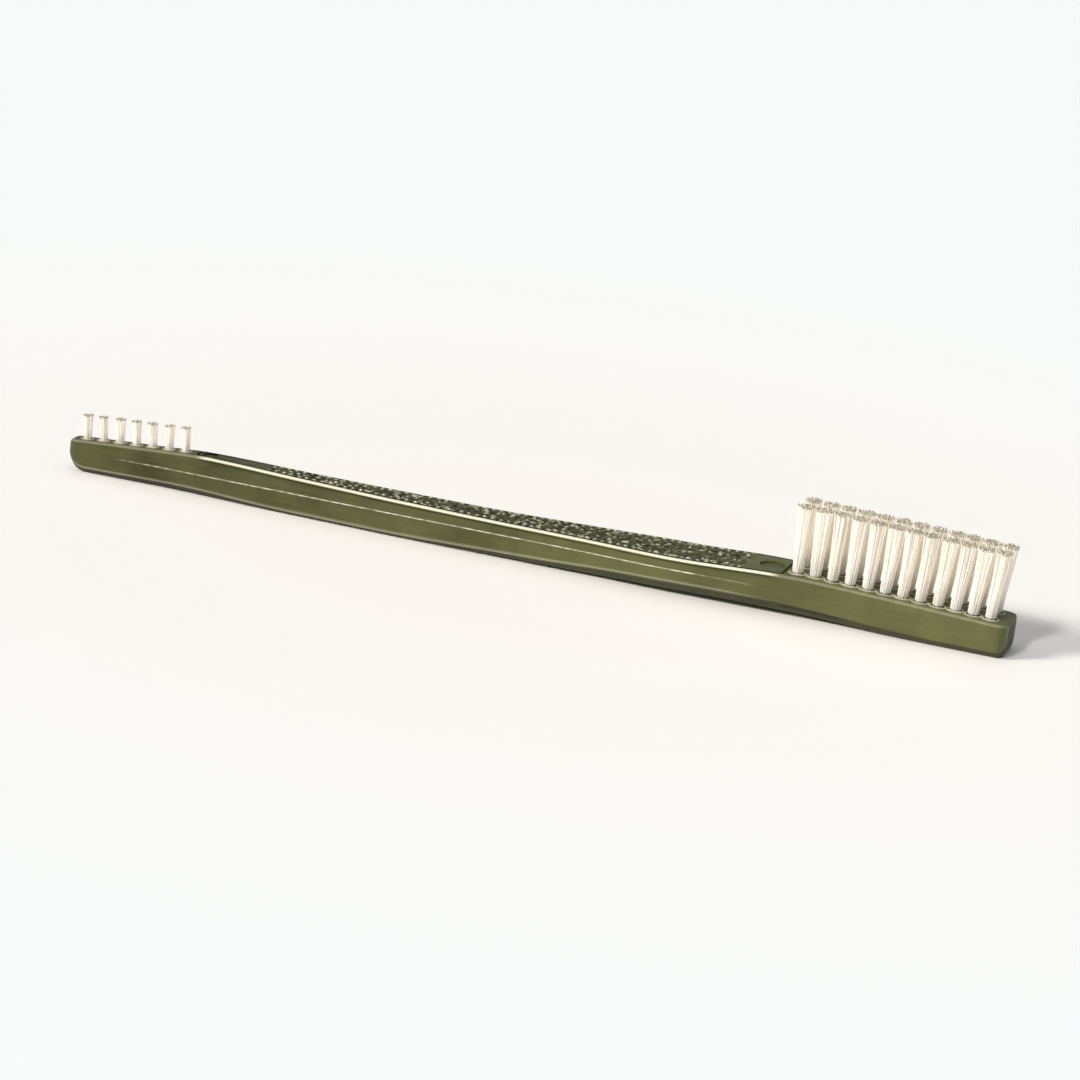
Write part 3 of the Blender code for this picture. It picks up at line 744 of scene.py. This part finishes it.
def cut_nylon(finish):
    """Sheared and ground filament ends: a matt bead painted greyer, a painted shade for the dark look
    where light leaves the strand.
    """
    material, tree, shader = new_material("cut_nylon_ends")
    place = add_node(tree, "ShaderNodeTexCoord").outputs["Object"]
    speck = add_node(tree, "ShaderNodeTexNoise", None, {"Scale": 1 / 0.0005, "Detail": 1.0},
                     {"Vector": place})
    blend = add_node(tree, "ShaderNodeValToRGB", None, None, {"Fac": speck.outputs["Fac"]})
    set_ramp(blend, [(0.4, linear(finish.end_hex)), (0.75, linear(finish.filament_warm_hex))])
    tree.links.new(blend.outputs["Color"], shader.inputs["Base Color"])
    shader.inputs["Roughness"].default_value = 0.6
    return material


def drawn_brass(finish):
    """Brass strip, rolled and sheared: warm yellow metal with fine lines along the strip."""
    material, tree, shader = new_material("rolled_brass_strip")
    place = add_node(tree, "ShaderNodeTexCoord").outputs["Object"]
    drawn = add_node(tree, "ShaderNodeMapping", None, {"Scale": (300.0, 9000.0, 9000.0)},
                     {"Vector": place})
    line = add_node(tree, "ShaderNodeTexNoise", None, {"Scale": 1.0, "Detail": 2.0},
                    {"Vector": drawn.outputs["Vector"]})
    blend = add_node(tree, "ShaderNodeValToRGB", None, None, {"Fac": line.outputs["Fac"]})
    set_ramp(blend, [(0.3, linear(finish.brass_dark_hex)), (0.7, linear(finish.brass_hex))])
    tree.links.new(blend.outputs["Color"], shader.inputs["Base Color"])
    rough = add_node(tree, "ShaderNodeMapRange", None, {"To Min": 0.22, "To Max": 0.4},
                     {"Value": line.outputs["Fac"]})
    tree.links.new(rough.outputs["Result"], shader.inputs["Roughness"])
    bump = add_node(tree, "ShaderNodeBump", None, {"Strength": 0.2, "Distance": 0.00001},
                    {"Height": line.outputs["Fac"]})
    tree.links.new(bump.outputs["Normal"], shader.inputs["Normal"])
    shader.inputs["Metallic"].default_value = 1.0
    return material


def table_paper(finish):
    """Smooth matt card of a studio table: nearly white, warmer at its middle, a little cloudy."""
    material, tree, shader = new_material("matt_card")
    place = add_node(tree, "ShaderNodeTexCoord").outputs["Object"]
    cloud = add_node(tree, "ShaderNodeTexNoise", None, {"Scale": 1.2, "Detail": 1.0},
                     {"Vector": place})
    away = add_node(tree, "ShaderNodeVectorMath", {"operation": "LENGTH"}, None, {0: place})
    reach = add_node(tree, "ShaderNodeMath", {"operation": "MULTIPLY_ADD"}, {1: 0.12},
                     {0: cloud.outputs["Fac"], 2: away.outputs["Value"]})
    blend = add_node(tree, "ShaderNodeValToRGB", None, None, {"Fac": reach.outputs["Value"]})
    set_ramp(blend, [(0.1, linear(finish.card_hex)), (0.3, linear(finish.card_cool_hex))])
    tree.links.new(blend.outputs["Color"], shader.inputs["Base Color"])
    shader.inputs["Roughness"].default_value = 0.85
    shader.inputs["Specular IOR Level"].default_value = 0.2
    return material


def shared(maker, name, finish):
    return bpy.data.materials.get(name) or maker(finish)


def dress(item, slot, nodes, *materials):
    """Gives a piece its materials and its body, and hides the nodes it stands for; the slot is not
    used.
    """
    for material in materials:
        item.data.materials.append(material)
    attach(item, "root")
    if nodes:
        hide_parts(*nodes)


def hex_property(name, description, default):
    return bpy.props.StringProperty(name=name, description=description, default=default, maxlen=6)


def length_property(name, description, default):
    return bpy.props.FloatProperty(name=name, description=description, default=default,
                                   precision=5, unit="LENGTH", subtype="DISTANCE")


class BrushHandleSettings(bpy.types.PropertyGroup):
    """Sizes of the moulded handle's surface detail."""

    section_step: length_property("Section Step", "Distance between grip cross-sections", 0.00028)
    grain_pitch: length_property("Grain Pitch", "Distance between grains of the grip pad", 0.00095)
    grain_height: length_property("Grain Height", "How far the grip grains stand up", 0.0004)
    lip_height: length_property("Lip Height", "Height of the swollen lip at each hole", 0.0003)


class BrushTuftSettings(bpy.types.PropertyGroup):
    """Sizes of the nylon filaments."""

    filament: length_property("Filament", "Thickness of one nylon filament", 0.0002)
    end_length: length_property("End Length", "Length of the dulled cut end", 0.00027)
    ragged: length_property("Ragged", "Spread of the filament lengths", 0.00009)


class BrushFinishSettings(bpy.types.PropertyGroup):
    """Colours and gloss of the finishes, as sRGB hex values."""

    body_hex: hex_property("Body", "Handle plastic", "333310")
    light_hex: hex_property("Body Light", "Palest tone of the handle", "5F6138")
    # Painted shade in the handle's grooves, hollows, creases, lower slope and holes
    painted_shade_hex: hex_property("Body Dark", "Hollows of the handle", "0D0E08")
    # Painted highlight on the handle's crests, in place of glints
    painted_highlight_hex: hex_property("Body Worn", "Pale crests of the handle", "EEE9CE")
    worn_roughness: bpy.props.FloatProperty(name="Worn Roughness", default=0.2, min=0, max=1,
                                            description="Roughness of the crests",
                                            subtype="FACTOR")
    body_roughness: bpy.props.FloatProperty(name="Body Roughness", default=0.38, min=0, max=1,
                                            description="Roughness of the handle", subtype="FACTOR")
    filament_hex: hex_property("Filament", "Palest strands", "FBF6EC")
    filament_warm_hex: hex_property("Filament Warm", "Warmest strands", "F0E5D2")
    filament_fill: bpy.props.FloatProperty(name="Filament Fill", default=0.13, min=0, max=1,
                                           description="Emission in place of light from other strands",
                                           subtype="FACTOR")
    filament_glow: bpy.props.FloatProperty(name="Filament Glow", default=0.8, min=0, max=1,
                                           description="Light that scatters inside a strand",
                                           subtype="FACTOR")
    # Cut ends are painted greyer as painted shade
    end_hex: hex_property("Cut Ends", "Sheared filament ends", "978F7B")
    brass_hex: hex_property("Brass", "Bright lines of the anchor strip", "D9B56A")
    brass_dark_hex: hex_property("Brass Dark", "Dull lines of the anchor strip", "A9843F")
    card_hex: hex_property("Card", "Table", "FDF9F4")
    card_cool_hex: hex_property("Card Cool", "Cooler patches of the table", "FAFDFE")


class BrushStageSettings(bpy.types.PropertyGroup):
    """Where the camera stands, and the size of the table."""

    azimuth: bpy.props.FloatProperty(name="Azimuth", default=math.radians(15.5356),
                                     description="Camera turn from the front", subtype="ANGLE")
    elevation: bpy.props.FloatProperty(name="Elevation", default=math.radians(15.5913),
                                       description="Camera height angle", subtype="ANGLE")
    roll: bpy.props.FloatProperty(name="Roll", default=math.radians(6.8872),
                                  description="Camera roll", subtype="ANGLE")
    distance: length_property("Distance", "Camera distance from its target", 0.92384)
    target: bpy.props.FloatVectorProperty(name="Target", default=(0.00203, 0.0, 0.00381),
                                          description="Point that the camera faces",
                                          subtype="XYZ", unit="LENGTH")
    lens: bpy.props.FloatProperty(name="Lens", default=171.919, unit="CAMERA",
                                  description="Focal length")
    table_size: length_property("Table Size", "Side of the square table", 9.0)


class BRUSH_OT_handle(bpy.types.Operator):
    """Moulded handle with its grip pad, parting line, tuft holes and mould marks"""

    bl_idname = "brush.handle"
    bl_label = "Moulded Handle"

    def execute(self, context):
        scene = context.scene
        handle = build_handle(scene.brush_handle)
        cut_handle(handle)
        make_active(handle)
        bpy.ops.object.shade_smooth_by_angle(angle=SMOOTH_ANGLE)
        material = shared(olive_nylon, "olive_moulded_nylon", scene.brush_finish)
        dress(handle, "olive_plastic", ["handle"], material)
        return {"FINISHED"}


class BRUSH_OT_wide_tufts(bpy.types.Operator):
    """Two rows of tall tufts on the wide head"""

    bl_idname = "brush.wide_tufts"
    bl_label = "Wide Head Tufts"

    def execute(self, context):
        scene = context.scene
        shaft = shared(clear_nylon, "natural_nylon_filament", scene.brush_finish)
        ends = shared(cut_nylon, "cut_nylon_ends", scene.brush_finish)
        for row, sign, seed in (("a", -1, 100), ("b", 1, 200)):
            names = ["wide_bristles_%s_%02d" % (row, i + 1) for i in range(WIDE_COUNT)]
            tufts = build_tufts(scene.brush_tufts, names, wide_places(sign), WIDE_ROOT, WIDE_TIP,
                                WIDE_HEIGHT, WIDE_HOLE_DEPTH, WIDE_FOLD, ANCHOR_THICKNESS, seed)
            for tuft in tufts:
                node = tuft.name.replace("bristles", "tuft")
                dress(tuft, "natural_nylon", [node], shaft, ends)
        return {"FINISHED"}


class BRUSH_OT_narrow_tufts(bpy.types.Operator):
    """Single row of short tufts on the narrow head"""

    bl_idname = "brush.narrow_tufts"
    bl_label = "Narrow Head Tufts"

    def execute(self, context):
        scene = context.scene
        shaft = shared(clear_nylon, "natural_nylon_filament", scene.brush_finish)
        ends = shared(cut_nylon, "cut_nylon_ends", scene.brush_finish)
        names = ["narrow_bristles_%02d" % (i + 1) for i in range(NARROW_COUNT)]
        tufts = build_tufts(scene.brush_tufts, names, narrow_places(), NARROW_ROOT, NARROW_TIP,
                            NARROW_HEIGHT, NARROW_HOLE_DEPTH, NARROW_FOLD, ANCHOR_THICKNESS, 300)
        for tuft in tufts:
            node = tuft.name.replace("bristles", "tuft")
            dress(tuft, "natural_nylon", [node], shaft, ends)
        return {"FINISHED"}


class BRUSH_OT_anchors(bpy.types.Operator):
    """Brass anchors: finish of the wide head's, and the narrow head's small ones"""

    bl_idname = "brush.anchors"
    bl_label = "Tuft Anchors"

    def execute(self, context):
        brass = shared(drawn_brass, "rolled_brass_strip", context.scene.brush_finish)
        for name in ALL_NODES:
            if name.startswith("wide_anchor"):
                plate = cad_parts[name]
                plate.data.materials.clear()
                plate.data.materials.append(brass)
        width, thickness, height = NARROW_ANCHOR_SIZE
        level = FLOOR_GAP - NARROW_HOLE_DEPTH + NARROW_FOLD + height / 2
        deselect_all()
        bpy.ops.mesh.primitive_cube_add(size=1.0)
        pattern = take_new("narrow_anchor")
        pattern.data.transform(Matrix.Diagonal((width * MM, thickness * MM, height * MM, 1.0)))
        apply_modifier(pattern, "sheared_edges", "BEVEL", width=0.00004, segments=2)
        for number, place in enumerate(narrow_places()):
            mesh = pattern.data.copy()
            mesh.transform(Matrix.Translation((0, 0, level * MM)))
            mesh.transform(tuft_frame(*place))
            plate = bpy.data.objects.new("narrow_anchor_%02d" % (number + 1), mesh)
            context.scene.collection.objects.link(plate)
            dress(plate, "anchor_brass", None, brass)
        bpy.data.objects.remove(pattern, do_unlink=True)
        return {"FINISHED"}


def add_lamp(name, azimuth, elevation, spread, strength, colour):
    """Distant soft lamp from an azimuth off the front, towards +X, and a height angle."""
    a, e = math.radians(azimuth), math.radians(elevation)
    away = Vector((math.sin(a) * math.cos(e), -math.cos(a) * math.cos(e), math.sin(e)))
    data = bpy.data.lights.new(name, "SUN")
    data.angle = math.radians(spread)
    data.energy = strength
    data.color = linear(colour)[:3]
    lamp = bpy.data.objects.new(name, data)
    lamp.matrix_world = (Matrix.Translation(away)
                         @ away.to_track_quat("Z", "Y").to_matrix().to_4x4())
    bpy.context.scene.collection.objects.link(lamp)


class BRUSH_OT_stage(bpy.types.Operator):
    """Pale table, soft lamps and the camera"""

    bl_idname = "brush.stage"
    bl_label = "Table, Lamps and Camera"

    def execute(self, context):
        scene, stage = context.scene, context.scene.brush_stage
        deselect_all()
        bpy.ops.mesh.primitive_plane_add(size=stage.table_size)
        table = take_new("table")
        table.data.materials.append(shared(table_paper, "matt_card", scene.brush_finish))
        for lamp in LAMPS:
            add_lamp(*lamp)
        world = bpy.data.worlds.new("studio")
        scene.world = world
        world.use_nodes = True
        sky = world.node_tree.nodes["Background"]
        sky.inputs["Color"].default_value = linear(SKY_COLOUR)
        sky.inputs["Strength"].default_value = SKY_STRENGTH
        scene.view_settings.view_transform = "Standard"
        a, e, r = stage.azimuth, stage.elevation, stage.roll
        back = Vector((math.sin(a) * math.cos(e), -math.cos(a) * math.cos(e), math.sin(e)))
        right = Vector((math.cos(a), math.sin(a), 0.0))
        up = back.cross(right)
        turn = Matrix((right, up, back)).transposed() @ Matrix.Rotation(r, 3, "Z")
        place = Vector(stage.target) + back * stage.distance
        data = bpy.data.cameras.new("camera")
        data.lens = stage.lens
        data.clip_start = 0.01
        data.clip_end = 20.0
        camera = bpy.data.objects.new("camera", data)
        camera.matrix_world = Matrix.Translation(place) @ turn.to_4x4()
        scene.collection.objects.link(camera)
        scene.camera = camera
        return {"FINISHED"}


class BRUSH_PT_panel(bpy.types.Panel):
    """Buttons that build the brush, in order"""

    bl_idname = "BRUSH_PT_panel"
    bl_label = "Cleaning Brush"
    bl_space_type = "VIEW_3D"
    bl_region_type = "UI"
    bl_category = "Brush"

    def draw(self, context):
        scene = context.scene
        for group in (scene.brush_handle, scene.brush_tufts, scene.brush_finish, scene.brush_stage):
            for key in group.__annotations__:
                self.layout.prop(group, key)
        for operator in OPERATORS:
            self.layout.operator(operator.bl_idname)


OPERATORS = (BRUSH_OT_handle, BRUSH_OT_wide_tufts, BRUSH_OT_narrow_tufts, BRUSH_OT_anchors,
             BRUSH_OT_stage)
SETTINGS = {"brush_handle": BrushHandleSettings, "brush_tufts": BrushTuftSettings,
            "brush_finish": BrushFinishSettings, "brush_stage": BrushStageSettings}


def register():
    for item in (*SETTINGS.values(), *OPERATORS, BRUSH_PT_panel):
        bpy.utils.register_class(item)
    for name, group in SETTINGS.items():
        setattr(bpy.types.Scene, name, bpy.props.PointerProperty(type=group))


def unregister():
    for name in SETTINGS:
        delattr(bpy.types.Scene, name)
    for item in (BRUSH_PT_panel, *OPERATORS[::-1], *list(SETTINGS.values())[::-1]):
        bpy.utils.unregister_class(item)


def main():
    register()
    bpy.ops.brush.handle()
    bpy.ops.brush.wide_tufts()
    bpy.ops.brush.narrow_tufts()
    bpy.ops.brush.anchors()
    bpy.ops.brush.stage()


if __name__ == "__main__":
    main()
